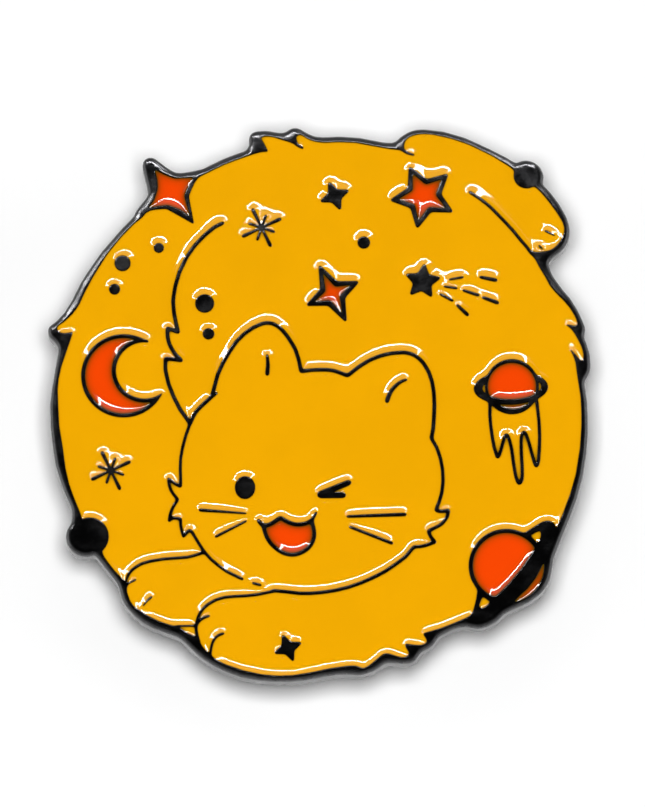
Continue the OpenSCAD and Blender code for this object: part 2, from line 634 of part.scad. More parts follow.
base_z = -(cap_t + seat);                  // top of the spring base below the cap's top
fold_z = base_z - spring_t - 0.2;          // axis of the folds the wings swing about
fold_r = 0.18;
a_z = fold_z - 0.85;                       // middle of the upper jaw
b_z = fold_z - 1.55;                       // middle of the lower jaw
jaw_y = shank_d / 2 + grip_gap;

// Disc of the spring that turns inside the cap
module spring_base() {
    color(nickel) translate([0, 0, base_z - spring_t]) difference() {
        cylinder(r = cap_d / 2 - cap_t - 0.1, h = spring_t);
        translate([0, 0, -1]) cylinder(r = 1, h = 2);
    }
}

module left_spring_base() { translate([-post_x, 0, cap_z]) spring_base(); }
module right_spring_base() { translate([post_x, 0, cap_z]) spring_base(); }

// The wing outside the clutch: a sheet that leaves the jaw, flares and curls at its tip
wing_path = [[3.5, -0.3], [3.75, -0.95], [4.05, -1.7], [4.45, -2.6], [4.85, -3.3],
    [5.2, -3.75], [5.45, -3.85]];

// Side view of the wing sheet, dropping from level z at distance y to the common tip
function wing_side(z, drop) = let (q = concat([[2.9, 0], [3.25, -0.06]],
    [for (p = wing_path) [p[0], p[1] * drop]]), n = len(q) - 1,
    s = [for (i = [0:n]) let (d = q[min(i + 1, n)] - q[max(i - 1, 0)])
        [-d[1], d[0]] * spring_t / 2 / norm(d)])
    [for (p = concat([for (i = [0:n]) q[i] + s[i]], [for (i = [n:-1:0]) q[i] - s[i]]))
        p + [0, z]];

// Extrudes a side view given in y and z to a width across x
module across(w) {
    translate([w / 2, 0, 0]) rotate([90, 0, -90]) mirror([1, 0, 0]) linear_extrude(w) children();
}

module wing_sheet(z, tip_z) {
    difference() {
        across(wing_w) polygon(wing_side(z, (z - tip_z) / 3.85));
        // rounded shoulders where the neck widens into the wing
        for (s = [-1, 1]) translate([s * (wing_w / 2 + 0.35), 3.3, -10])
            cylinder(r = 2.2, h = 12);
    }
}

tip_z = -6.2;                              // wing tips below the cap's top

// Upper jaw and its wing: narrow tongue that passes between the legs of the lower jaw
module wing_a() {
    w = 2.4;
    color(nickel) {
        difference() {
            union() {
                translate([-w / 2, -3, a_z - spring_t / 2]) cube([w, 3 + fold_y, spring_t]);
                translate([-w / 2, fold_y - spring_t / 2, a_z - spring_t / 2])
                    cube([w, spring_t, fold_z - a_z + spring_t / 2]);
                translate([-w / 2, fold_y, fold_z]) rotate([0, 90, 0])
                    cylinder(r = fold_r, h = w);
            }
            translate([0, 0, a_z - 1]) linear_extrude(2) jaw_hole();
        }
        intersection() {
            mirror([0, 1, 0]) wing_sheet(a_z, tip_z);
            translate([-5, -8, -8]) cube([10, 5.02, 8]);
        }
    }
}

// Opening of a jaw: a round notch that meets the shank, open wide on the other side
module jaw_hole() {
    circle(r = jaw_y, $fn = 48);
    translate([-jaw_y, -1.15]) square([2 * jaw_y, 1.15]);
}

// Lower jaw and its wing: two legs astride the upper one
module wing_b() {
    w = 5.6;
    leg = 1.2;
    color(nickel) {
        difference() {
            union() {
                translate([-w / 2, -fold_y, b_z - spring_t / 2])
                    cube([w, fold_y + 3, spring_t]);
                for (s = [-1, 1]) translate([s * (w - leg) / 2 - leg / 2, 0, 0]) {
                    translate([0, -fold_y - spring_t / 2, b_z - spring_t / 2])
                        cube([leg, spring_t, fold_z - b_z + spring_t / 2]);
                    translate([0, -fold_y, fold_z]) rotate([0, 90, 0])
                        cylinder(r = fold_r, h = leg);
                }
            }
            translate([0, 0, b_z - 1]) linear_extrude(2) {
                rotate(180) jaw_hole();
                translate([-w / 2 + leg, -fold_y - 1]) square([w - 2 * leg, fold_y - 0.15]);
            }
        }
        intersection() {
            wing_sheet(b_z, tip_z);
            translate([-5, 2.98, -8]) cube([10, 5.02, 8]);
        }
    }
}

module left_wing_a() { translate([-post_x, 0, cap_z]) wing_a(); }
module right_wing_a() { translate([post_x, 0, cap_z]) wing_a(); }
module left_wing_b() { translate([-post_x, 0, cap_z]) wing_b(); }
module right_wing_b() { translate([post_x, 0, cap_z]) wing_b(); }

badge_plate();
body_enamel();
head_enamel();
paw_sliver_enamel();
drip_enamel();
small_ring_left_enamel();
small_ring_right_enamel();
large_ring_top_enamel();
large_ring_foot_enamel();
corner_star_enamel();
moon_enamel();
five_star_enamel();
four_star_enamel();
small_planet_enamel();
small_planet_base_enamel();
large_planet_enamel();
large_planet_base_enamel();
mouth_enamel();
left_post();
right_post();
left_cap();
right_cap();
left_spring_base();
right_spring_base();
left_wing_a();
right_wing_a();
left_wing_b();
right_wing_b();
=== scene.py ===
import json
import math
import bmesh
import bpy
import numpy as np
from mathutils import Matrix, Vector
from mathutils.geometry import delaunay_2d_cdt
from mathutils.kdtree import KDTree


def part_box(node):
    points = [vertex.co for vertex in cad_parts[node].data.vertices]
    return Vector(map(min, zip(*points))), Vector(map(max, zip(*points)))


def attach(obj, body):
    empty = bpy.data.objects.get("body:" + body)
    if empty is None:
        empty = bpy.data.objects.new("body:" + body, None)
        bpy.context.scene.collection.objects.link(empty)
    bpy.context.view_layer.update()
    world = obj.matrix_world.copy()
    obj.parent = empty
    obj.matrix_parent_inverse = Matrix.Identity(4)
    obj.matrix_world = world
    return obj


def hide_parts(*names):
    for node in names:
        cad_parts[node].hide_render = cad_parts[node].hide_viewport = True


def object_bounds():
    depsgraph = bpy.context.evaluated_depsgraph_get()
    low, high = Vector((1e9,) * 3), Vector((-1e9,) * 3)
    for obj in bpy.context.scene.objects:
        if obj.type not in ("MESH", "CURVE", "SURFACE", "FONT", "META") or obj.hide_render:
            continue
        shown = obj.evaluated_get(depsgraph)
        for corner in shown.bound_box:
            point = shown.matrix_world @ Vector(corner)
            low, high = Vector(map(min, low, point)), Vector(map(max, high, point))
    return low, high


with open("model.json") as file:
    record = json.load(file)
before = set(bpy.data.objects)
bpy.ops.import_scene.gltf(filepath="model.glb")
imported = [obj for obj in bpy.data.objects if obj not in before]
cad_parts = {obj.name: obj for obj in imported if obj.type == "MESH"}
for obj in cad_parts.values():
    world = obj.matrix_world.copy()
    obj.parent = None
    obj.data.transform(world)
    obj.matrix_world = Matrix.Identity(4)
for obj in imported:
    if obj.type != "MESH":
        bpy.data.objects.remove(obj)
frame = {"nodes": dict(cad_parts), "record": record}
cad_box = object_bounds()
MM = 0.001

# ---- Badge plate ----
# One plate of soft iron or zinc alloy, struck in a die and plated black. The rim and every
# line of the drawing stand up between wells, and striking leaves the rim's outer edge round.

RIM_ROUND = 0.32       # mm, radius of the rim's outer shoulder
LINE_ROUND = 0.03      # mm, radius along the edges of wells
BACK_ROUND = 0.12      # mm, radius around the back face
STEP = 0.1             # mm, between the points of an outline
RIM_ROWS = [0.02, 0.06, 0.11, 0.17, 0.24, 0.33]     # mm, rows of points inside the rim's edge
LINE_ROWS = [0.025, 0.06, 0.11]                     # mm, rows of points beside a well


def top_loops(node):
    """Closed outlines of a CAD node's top face, in mm, the metal or enamel on their left."""
    mesh = frame["nodes"][node].data
    at = np.empty(3 * len(mesh.vertices), np.float32)
    mesh.vertices.foreach_get("co", at)
    at, corner = np.unique(np.round(at.reshape(-1, 3) / MM, 3), axis=0, return_inverse=True)
    tri = np.empty(3 * len(mesh.polygons), np.int32)
    mesh.polygons.foreach_get("vertices", tri)
    tri = corner.reshape(-1)[tri].reshape(-1, 3)
    facing = np.cross(at[tri[:, 1]] - at[tri[:, 0]], at[tri[:, 2]] - at[tri[:, 0]])[:, 2]
    tri = tri[(facing > 0) & (at[tri][:, :, 2] > at[:, 2].max() - 0.001).all(axis=1)]
    edges = {(int(a), int(b)) for t in tri for a, b in zip(t, np.roll(t, -1))}
    after = {a: b for a, b in edges if (b, a) not in edges}
    loops = []
    while after:
        start, here = next(iter(after.items()))
        del after[start]
        loop = [start]
        while here != start:
            loop.append(here)
            here = after.pop(here)
        loops.append(at[loop][:, :2].astype(float))
    return sorted(loops, key=lambda p: -np.ptp(p[:, 0]))


def even_steps(loop, step):
    """The outline as points in even steps, a hair off line so that no three stand in a row."""
    length = np.linalg.norm(np.roll(loop, -1, axis=0) - loop, axis=1)
    count = max(12, int(round(length.sum() / step)))
    along = np.concatenate([[0], np.cumsum(length)])
    ring = np.vstack([loop, loop[:1]])
    s = np.arange(count) / count * along[-1]
    hair = 5e-5 * np.stack([np.cos(2.4 * np.arange(count)), np.sin(2.4 * np.arange(count))], 1)
    return np.stack([np.interp(s, along, ring[:, k]) for k in (0, 1)], axis=1) + hair


def eased(loop):
    """The outline in even steps, its corners slightly rounded as a die leaves them."""
    even = even_steps(loop, STEP)
    for _ in range(2):
        even = (np.roll(even, 1, axis=0) + 2 * even + np.roll(even, -1, axis=0)) / 4
    return even_steps(even, STEP)


def moved_in(loop, distance):
    """The outline's points moved to its left by a distance."""
    way = np.roll(loop, -1, axis=0) - np.roll(loop, 1, axis=0)
    way /= np.linalg.norm(way, axis=1)[:, None]
    return loop + distance * np.stack([-way[:, 1], way[:, 0]], axis=1)


class Edges:
    """Distance in the drawing's plane from points to some outlines, negative outside them."""

    def __init__(self, loops):
        self.a = np.vstack(loops)
        self.b = np.vstack([np.roll(p, -1, axis=0) for p in loops])
        self.before = np.concatenate([np.roll(np.arange(len(p)), 1) + n for p, n in zip(
            loops, np.cumsum([0] + [len(p) for p in loops[:-1]]))])
        self.tree = KDTree(len(self.a))
        for i, p in enumerate(self.a):
            self.tree.insert((p[0], p[1], 0), i)
        self.tree.balance()

    def from_corner(self, points, near):
        """Signed distance to the nearer of the two edges that meet at a corner."""
        found = []
        for i in (near, self.before[near]):
            side = self.b[i] - self.a[i]
            t = ((points - self.a[i]) * side).sum(1) / np.maximum((side ** 2).sum(1), 1e-12)
            off = points - self.a[i] - np.clip(t, 0, 1)[:, None] * side
            side /= np.linalg.norm(side, axis=1)[:, None]
            found.append((np.linalg.norm(off, axis=1), off,
                          np.stack([-side[:, 1], side[:, 0]], axis=1)))
        (d, off, inward), (d2, off2, inward2) = found
        closer = (d2 < d - 1e-9)[:, None]
        both = (np.abs(d2 - d) <= 1e-9)[:, None]
        inward = np.where(both, inward + inward2, np.where(closer, inward2, inward))
        off = np.where(closer, off2, off)
        return np.minimum(d, d2) * np.where((off * inward).sum(1) >= 0, 1, -1)

    def far(self, points):
        """Signed distance to the outlines, the least of those at the four nearest corners."""
        found = [self.tree.find_n((x, y, 0), 4) for x, y in points]
        best = np.full(len(points), np.inf)
        for rank in range(4):
            d = self.from_corner(points, np.array([f[rank][1] for f in found]))
            best = np.where(np.abs(d) < np.abs(best) - 1e-9, d, best)
        return best


def filled(loops, rows, spacing):
    """Triangles between outlines: points on them, rows beside them, an even field beyond."""
    edges = Edges(loops)
    free, room, clear = [], [], 0
    for loop, distances in zip(loops, rows):
        for before, distance in zip([0] + distances, distances):
            ring = moved_in(loop, distance)
            free.append(ring[edges.far(ring) > 0.93 * distance])
            room.append(0.45 * (distance - before))
            clear = max(clear, distance)
    low, high = loops[0].min(0), loops[0].max(0)
    field = np.array([(x + spacing / 2 * (k % 2), y)
                      for k, y in enumerate(np.arange(low[1], high[1], spacing * 0.866))
                      for x in np.arange(low[0], high[0], spacing)])
    free.append(field[edges.far(field) > clear + spacing / 2])
    room.append(0.5 * spacing)
    kept, taken = [], {}
    for group, gap in zip(free, room):
        for p in group:
            cell = (int(p[0] // gap), int(p[1] // gap), gap)
            if cell not in taken:
                taken[cell] = True
                kept.append(p)
    points, lines = [Vector(p) for p in np.vstack(loops)], []
    for p in loops:
        n = len(lines)
        lines += [(n + k, n + (k + 1) % len(p)) for k in range(len(p))]
    points += [Vector(p) for p in kept]
    at, sides, faces, _, origin, _ = delaunay_2d_cdt(points, lines, [], 0, 1e-6, True)
    at = np.array([tuple(p) for p in at])
    faces = np.array(faces)
    # areas that the outlines part from each other are kept or dropped whole
    owner = list(range(len(faces)))

    def area_of(k):
        while owner[k] != k:
            owner[k] = owner[owner[k]]
            k = owner[k]
        return k

    drawn = {(min(side), max(side)) for side, source in zip(sides, origin) if source}
    beside = {}
    for k, (a, b, c) in enumerate(faces.tolist()):
        for side in ((min(a, b), max(a, b)), (min(b, c), max(b, c)), (min(a, c), max(a, c))):
            if side not in drawn and beside.setdefault(side, k) != k:
                owner[area_of(k)] = area_of(beside[side])
    owner = np.array([area_of(k) for k in range(len(faces))])
    u, v = at[faces[:, 1]] - at[faces[:, 0]], at[faces[:, 2]] - at[faces[:, 0]]
    size = u[:, 0] * v[:, 1] - u[:, 1] * v[:, 0]
    inside = np.bincount(owner, size * np.sign(edges.far(at[faces].mean(axis=1))), len(faces))
    faces = faces[inside[owner] > 0]
    return at, faces


def quarter(distance, radius):
    """How far a rounded edge lies below its face at a distance from the edge."""
    d = np.clip(distance, 0, radius)
    return radius - np.sqrt(radius ** 2 - (radius - d) ** 2)


def closed_shell(name, points, faces, finish, sharp=50):
    """A piece from points in mm: doubles merged, smooth but for its sharp edges."""
    mesh = bpy.data.meshes.new(name)
    mesh.from_pydata((points * MM).tolist(), [], [[int(k) for k in f] for f in faces])
    shell = bmesh.new()
    shell.from_mesh(mesh)
    bmesh.ops.remove_doubles(shell, verts=shell.verts, dist=1e-8)
    shell.to_mesh(mesh)
    shell.free()
    mesh.shade_smooth()
    mesh.set_sharp_from_angle(angle=math.radians(sharp))
    mesh.materials.append(finish)
    made = bpy.data.objects.new(name, mesh)
    bpy.context.collection.objects.link(made)
    return made


def walls(upper, lower):
    """Quads from one closed row of point numbers down to the next, facing right."""
    return [(a, b, c, d) for a, b, c, d in zip(
        upper, lower, np.roll(lower, -1), np.roll(upper, -1))]


def shade_group(name, inputs, outputs):
    """An empty shader node group with named sockets: (name, kind, value) and (name, kind)."""
    group = bpy.data.node_groups.new(name, "ShaderNodeTree")
    for label, kind, value in inputs:
        socket = group.interface.new_socket(label, in_out="INPUT", socket_type=kind)
        socket.default_value = value
    for label, kind in outputs:
        group.interface.new_socket(label, in_out="OUTPUT", socket_type=kind)
    start, end = group.nodes.new("NodeGroupInput"), group.nodes.new("NodeGroupOutput")
    return group, start, end


def added(tree, kind, links=(), **values):
    """A new node with its properties and inputs set and linked: {input: value or socket}."""
    node = tree.nodes.new(kind)
    for key, value in values.items():
        setattr(node, key, value)
    for socket, value in dict(links).items():
        if isinstance(value, bpy.types.NodeSocket):
            tree.links.new(value, node.inputs[socket])
        else:
            node.inputs[socket].default_value = value
    return node


def finish_of(name, **constants):
    """A material with one Principled shader, its constant values set on its own sockets."""
    material = bpy.data.materials.new(name)
    material.use_nodes = True
    tree = material.node_tree
    shader = tree.nodes["Principled BSDF"]
    for socket, value in constants.items():
        shader.inputs[socket.replace("_", " ")].default_value = value
    place = tree.nodes.new("ShaderNodeTexCoord").outputs["Object"]
    return material, tree, shader, place


# Fine unevenness of a surface: soft mottling for colour and gloss, and a height for bumps
uneven, start, end = shade_group(
    "uneven surface",
    [("Vector", "NodeSocketVector", (0, 0, 0)), ("Size mm", "NodeSocketFloat", 1.0),
     ("Detail", "NodeSocketFloat", 3.0)],
    [("Mask", "NodeSocketFloat"), ("Fine", "NodeSocketFloat")])
per_mm = added(uneven, "ShaderNodeMath", {0: 1 / MM, 1: start.outputs["Size mm"]},
               operation="DIVIDE")
broad = added(uneven, "ShaderNodeTexNoise", {
    "Vector": start.outputs["Vector"], "Scale": per_mm.outputs[0],
    "Detail": start.outputs["Detail"], "Roughness": 0.55})
finer = added(uneven, "ShaderNodeMath", {0: per_mm.outputs[0], 1: 6.0}, operation="MULTIPLY")
fine = added(uneven, "ShaderNodeTexNoise", {
    "Vector": start.outputs["Vector"], "Scale": finer.outputs[0], "Detail": 4.0,
    "Roughness": 0.6})
uneven.links.new(broad.outputs["Fac"], end.inputs["Mask"])
uneven.links.new(fine.outputs["Fac"], end.inputs["Fine"])


def unevenness(tree, place, size):
    """The uneven surface at a place, its patches a size in mm: broad and fine masks."""
    node = added(tree, "ShaderNodeGroup", node_tree=uneven)
    tree.links.new(place, node.inputs["Vector"])
    node.inputs["Size mm"].default_value = size
    return node.outputs["Mask"], node.outputs["Fine"]


def spread(tree, value, low, high, out_low, out_high):
    """A value mapped from one range to another, as a smooth step."""
    return added(tree, "ShaderNodeMapRange", {
        "Value": value, "From Min": low, "From Max": high, "To Min": out_low,
        "To Max": out_high}, interpolation_type="SMOOTHSTEP").outputs["Result"]


black_plating, tree, shader, place = finish_of("black plating", Metallic=1.0)
mask, fine = unevenness(tree, place, 1.3)
# the rounded rim comes satin from the tumbler, the flat line tops stay glossy; the rim's paler
# grey is partly that satin and partly a painted sheen, the reflection of the white room painted
# into its colour
satin_and_painted_sheen = added(tree, "ShaderNodeAttribute", attribute_name="satin_and_painted_sheen").outputs["Fac"]
gloss = added(tree, "ShaderNodeMix", {
    "Factor": satin_and_painted_sheen, "A": spread(tree, mask, 0.3, 0.7, 0.07, 0.15),
    "B": spread(tree, mask, 0.3, 0.7, 0.24, 0.36)})
tree.links.new(gloss.outputs[0], shader.inputs["Roughness"])
dark = added(tree, "ShaderNodeMix", {
    "Factor": fine, "A": (0.02, 0.02, 0.021, 1), "B": (0.045, 0.045, 0.047, 1)},
    data_type="RGBA")
# paler grey for the rounded rim: painted sheen of the room it reflects, on top of its satin
# finish
satin_grey_and_painted_sheen = added(tree, "ShaderNodeMix", {
    "Factor": fine, "A": (0.05, 0.05, 0.051, 1), "B": (0.13, 0.13, 0.133, 1)},
    data_type="RGBA")
tone = added(tree, "ShaderNodeMix", {
    "Factor": satin_and_painted_sheen, "A": dark.outputs[2], "B": satin_grey_and_painted_sheen.outputs[2]}, data_type="RGBA")
tree.links.new(tone.outputs[2], shader.inputs["Base Color"])
tree.links.new(spread(tree, satin_and_painted_sheen, 0, 1, 1, 0.4), shader.inputs["Metallic"])
grit = added(tree, "ShaderNodeBump", {
    "Height": fine, "Strength": 0.14, "Distance": 0.00002})
tree.links.new(grit.outputs["Normal"], shader.inputs["Normal"])

plate_low, plate_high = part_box("badge_plate")
line_top = plate_high.z / MM
well_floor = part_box("body_enamel")[0].z / MM
outline = [eased(p) for p in top_loops("badge_plate")]
rim, holes = outline[0], outline[1:]
top, top_faces = filled(outline, [RIM_ROWS] + [LINE_ROWS] * len(holes), 0.2)
outer, wells = Edges([rim]), Edges(holes)
face_z = line_top - quarter(outer.far(top), RIM_ROUND) - quarter(wells.far(top), LINE_ROUND)
points = [np.column_stack([top, face_z])]
faces = [tuple(f) for f in top_faces]
count = len(top)


def row(loop, z):
    """Adds one closed row of points at a level and gives their numbers."""
    global count
    points.append(np.column_stack([loop, np.full(len(loop), z)]))
    count += len(loop)
    return np.arange(count - len(loop), count)


# the plate's side, back and the floors of its wells close the shell
edge = np.arange(len(rim))
for inset, z in ((0, 0.7 * line_top), (0, 2 * BACK_ROUND), (0, BACK_ROUND),
                 (0.3 * BACK_ROUND, 0.3 * BACK_ROUND), (BACK_ROUND, 0)):
    below = row(moved_in(rim, inset), z)
    faces += walls(edge, below)
    edge = below
back, back_faces = filled([points[-1][:, :2]], [[0.6]], 1.5)
points.append(np.column_stack([back, np.zeros(len(back))]))
faces += [tuple(count + f[::-1]) for f in back_faces]
count += len(back)
first = len(rim)
for loop in holes:
    edge = np.arange(first, first + len(loop))
    first += len(loop)
    faces += walls(edge, row(loop, well_floor))
ground, ground_faces = filled([p[::-1] for p in holes], [[]] * len(holes), 2.0)
points.append(np.column_stack([ground, np.full(len(ground), well_floor)]))
faces += [tuple(count + f) for f in ground_faces]

plate = closed_shell("struck_plate", np.vstack(points), faces, black_plating)
corners = np.array([v.co for v in plate.data.vertices]) / MM
# the rim's satin finish and its painted sheen come in over the rounded shoulder
full_satin_and_painted_sheen = 0.1       # mm, from the rim's edge
rounded = 1 - (outer.far(corners[:, :2]) - full_satin_and_painted_sheen) / (RIM_ROUND - full_satin_and_painted_sheen)
plate.data.attributes.new("satin_and_painted_sheen", "FLOAT", "POINT").data.foreach_set(
    "value", np.clip(rounded, 0, 1))
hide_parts("badge_plate")
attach(plate, "badge")

# ---- Enamel ----
# Seventeen fills of coloured resin, poured into the wells and baked. Baking shrinks each fill,
# so it is dished and creeps up every line that it touches. Yellow and orange, high gloss.

POUR_EDGE = 0.05       # mm, from the line tops down to the enamel's edge
POUR_DISH = 0.115      # mm, from the edge down to the flat middle
CREEP = 0.27           # mm, how far from a line the surface takes to level out
UNDER_LINE = 0.012     # mm, how far a fill reaches into the metal
FILL_ROWS = [0.035, 0.08, 0.14, 0.21, 0.29, 0.38, 0.48, 0.6, 0.74]      # mm, from its edge
SETTLING = 500         # rounds in which a fill's surface comes to rest


def levelled(at, faces, fixed, edge, middle):
    """Heights of a liquid surface that clings to its edge: the soap-film rule with gravity."""
    p = at[faces]
    i, j, k = faces.T
    ends, pulls = [], []
    for a, b, c in ((0, 1, 2), (1, 2, 0), (2, 0, 1)):
        u, v = p[:, a] - p[:, c], p[:, b] - p[:, c]
        cross = np.abs(u[:, 0] * v[:, 1] - u[:, 1] * v[:, 0])
        ends.append(faces[:, [a, b]])
        pulls.append(0.5 * (u * v).sum(1) / np.maximum(cross, 1e-9))
    ends, pulls = np.vstack(ends), np.clip(np.concatenate(pulls), 0, 20)
    part = np.repeat(cross / 6, 3)
    weight = np.bincount(faces.ravel(), part, len(at)) / CREEP ** 2
    total = weight + sum(np.bincount(ends[:, s], pulls, len(at)) for s in (0, 1))
    z = np.full(len(at), middle, float)
    z[:fixed] = edge
    for _ in range(SETTLING):
        pulled = np.bincount(ends[:, 0], pulls * z[ends[:, 1]], len(at))
        pulled += np.bincount(ends[:, 1], pulls * z[ends[:, 0]], len(at))
        z[fixed:] = ((pulled + weight * middle) / total)[fixed:]
    return z


def enamel_finish(name, colour, thinned, fall):
    """Glossy pigmented resin, darker up the rise to every line: partly where it thins out over
    the black metal, partly painted shade.
    """
    material, tree, shader, place = finish_of(name, IOR=1.5, Roughness=0.035)
    mask, fine = unevenness(tree, place, 4.0)
    cloudy = added(tree, "ShaderNodeMix", {
        "Factor": spread(tree, mask, 0.3, 0.7, 0, 1), "A": (*colour, 1),
        "B": (*[0.965 * c for c in colour], 1)}, data_type="RGBA")
    # painted shade: the colour darkens up the rise to every line, partly thin enamel over the
    # black metal, partly the shade on those slopes
    edge = added(tree, "ShaderNodeAttribute", attribute_name="thin")
    thin = added(tree, "ShaderNodeMath", {0: edge.outputs["Fac"], 1: fall}, operation="POWER")
    shaded = added(tree, "ShaderNodeMix", {
        "Factor": thin.outputs[0], "A": cloudy.outputs[2], "B": (*thinned, 1)},
        data_type="RGBA")
    # a few specks of dust are baked in, some 5 mm apart
    specks = added(tree, "ShaderNodeTexVoronoi", {"Vector": place, "Scale": 190.0})
    speck = added(tree, "ShaderNodeMath", {0: specks.outputs["Distance"], 1: 0.016},
                  operation="LESS_THAN")
    dusty = added(tree, "ShaderNodeMix", {
        "Factor": speck.outputs[0], "A": shaded.outputs[2],
        "B": (*[0.35 * c for c in colour], 1)}, data_type="RGBA")
    tree.links.new(dusty.outputs[2], shader.inputs["Base Color"])
    wavy = added(tree, "ShaderNodeBump", {"Height": mask, "Strength": 0.12, "Distance": 0.00005})
    tree.links.new(wavy.outputs["Normal"], shader.inputs["Normal"])
    return material


# the second colour of each is its darker edge tone: partly thin enamel, partly painted shade
yellow = enamel_finish("yellow enamel", (0.84, 0.385, 0.0), (0.04, 0.025, 0.0), 8.0)
orange = enamel_finish("orange enamel", (0.90, 0.06, 0.0), (0.055, 0.045, 0.0), 1.5)
record_slots = {s["node"]: s["material_slot"] for s in frame["record"]["subparts"]}
pour_edge, pour_middle = line_top - POUR_EDGE, line_top - POUR_EDGE - POUR_DISH
for node, slot in record_slots.items():
    if not slot.endswith("enamel"):
        continue
    loops = [moved_in(eased(p), -UNDER_LINE) for p in top_loops(node)]
    at, tops = filled(loops, [FILL_ROWS] * len(loops), 0.3)
    on_edge = sum(len(p) for p in loops)
    z = levelled(at, tops, on_edge, pour_edge, pour_middle)
    points, faces = [np.column_stack([at, z])], [tuple(f) for f in tops]
    count, first = len(at), 0
    for loop in loops:
        edge = np.arange(first, first + len(loop))
        first += len(loop)
        faces += walls(edge, row(loop, well_floor))
    under, under_faces = filled(loops, [[]] * len(loops), 3.0)
    points.append(np.column_stack([under, np.full(len(under), well_floor)]))
    faces += [tuple(count + f[::-1]) for f in under_faces]
    fill = closed_shell(node.replace("_enamel", "_fill"), np.vstack(points), faces,
                        yellow if slot == "yellow_enamel" else orange)
    # how far up its dish each point lies; this darkens the colour there, partly thin enamel,
    # partly painted shade
    thin = fill.data.attributes.new("thin", "FLOAT", "POINT")
    rise = (np.array([v.co.z for v in fill.data.vertices]) / MM - pour_middle) / POUR_DISH
    thin.data.foreach_set("value", np.clip(rise, 0, 1))
    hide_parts(node)
    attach(fill, "badge")

# ---- Posts ----
# Two turned pins soldered to the back, 20 mm apart, and plated black with the plate. A thick
# root fills the hole in the cloth, a groove near the point holds the clutch.

SOLDER = 0.22          # mm, radius of the bead between a pad and its root
AROUND = 64            # steps round a turned piece


def turned(name, profile, x, finish, sharp=40):
    """A turned piece from radius and height in mm, round an upright axis at x."""
    profile = np.array(profile, float)
    angle = np.arange(AROUND) / AROUND * 2 * math.pi
    points = np.concatenate([np.column_stack([
        x + r * np.cos(angle), r * np.sin(angle), np.full(AROUND, z)]) for r, z in profile])
    faces, rows = [], [np.arange(AROUND) + k * AROUND for k in range(len(profile))]
    for upper, lower in zip(rows, rows[1:]):
        faces += walls(upper, lower)
    if profile[0][0] > 0.001 and np.allclose(profile[0], profile[-1]):
        return closed_shell(name, points, faces, finish, sharp)
    for end, way in ((rows[0], 1), (rows[-1], -1)):
        middle = len(points)
        points = np.vstack([points, [x, 0, points[end[0]][2]]])
        faces += [(a, b, middle)[::way] for a, b in zip(end, np.roll(end, -1))]
    return closed_shell(name, points, faces, finish, sharp)


def bend(centre, radius, start, stop, steps=5):
    """Points of a rounded edge, as radius and height, between two angles in degrees."""
    return [(centre[0] + radius * math.cos(math.radians(a)),
             centre[1] + radius * math.sin(math.radians(a)))
            for a in np.linspace(start, stop, steps)]


post_low, post_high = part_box("left_post")
pad = (post_high.x - post_low.x) / 2 / MM
point_z = post_low.z / MM
root, shank, pad_z, root_z = 0.75, 0.55, -0.3, -1.15
notch, notch_z = 0.43, point_z + 1.8
post_side = ([(pad - 0.04, 0), (pad, -0.04)] + bend((pad - 0.12, pad_z + 0.12), 0.12, 0, -90)
             + bend((root + SOLDER, pad_z - SOLDER), SOLDER, 90, 180)
             + bend((root - 0.08, root_z + 0.1), 0.08, 0, -60, 4)
             + bend((shank + 0.06, root_z - 0.12), 0.06, 120, 180, 4)
             + [(shank, notch_z + 0.4), (shank - 0.02, notch_z + 0.33), (notch, notch_z + 0.15),
                (notch, notch_z - 0.15), (shank - 0.02, notch_z - 0.33), (shank, notch_z - 0.4)]
             + bend((shank - 0.3, point_z + 1.05), 0.3, 0, -22, 4)
             + [(0.17, point_z + 0.16)] + bend((0.0, point_z + 0.1), 0.1, -20, -80, 4))
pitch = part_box("right_post")[0].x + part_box("right_post")[1].x
axes = {"left": -pitch / 2 / MM, "right": pitch / 2 / MM}
for side, x in axes.items():
    post = turned(f"{side}_turned_post", post_side, x, black_plating)
    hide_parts(f"{side}_post")
    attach(post, "badge")

# ---- Clutch caps ----
# A round cap stamped from nickel-plated sheet slides on each post. Its wall is rolled in at
# the bottom over the spring's disc, and a row of dimples keeps the disc from chafing.

nickel, tree, shader, place = finish_of("nickel plating", Metallic=1.0)
mask, fine = unevenness(tree, place, 2.2)
tree.links.new(spread(tree, fine, 0.3, 0.75, 0.16, 0.34), shader.inputs["Roughness"])
tone = added(tree, "ShaderNodeMix", {
    "Factor": mask, "A": (0.60, 0.57, 0.52, 1), "B": (0.76, 0.73, 0.67, 1)}, data_type="RGBA")
tree.links.new(tone.outputs[2], shader.inputs["Base Color"])
rolled = added(tree, "ShaderNodeBump", {"Height": mask, "Strength": 0.3, "Distance": 0.00004})
tree.links.new(rolled.outputs["Normal"], shader.inputs["Normal"])


def shape_tree(name, sizes):
    """An empty geometry tree with named inputs for its sizes, and its own finish."""
    made = bpy.data.node_groups.new(name, "GeometryNodeTree")
    made.interface.new_socket("Geometry", in_out="INPUT", socket_type="NodeSocketGeometry")
    for label, kind in sizes:
        made.interface.new_socket(label, in_out="INPUT", socket_type=kind)
    made.interface.new_socket("Finish", in_out="INPUT", socket_type="NodeSocketMaterial")
    made.interface.new_socket("Geometry", in_out="OUTPUT", socket_type="NodeSocketGeometry")
    return made, made.nodes.new("NodeGroupInput"), made.nodes.new("NodeGroupOutput")


def finished(tree, start, end, shape):
    """The tree's last nodes: real faces, smooth, in their finish."""
    real = added(tree, "GeometryNodeRealizeInstances", {"Geometry": shape})
    smooth = added(tree, "GeometryNodeSetShadeSmooth", {"Geometry": real.outputs[0]})
    coated = added(tree, "GeometryNodeSetMaterial", {
        "Geometry": smooth.outputs[0], "Material": start.outputs["Finish"]})
    tree.links.new(coated.outputs[0], end.inputs[0])


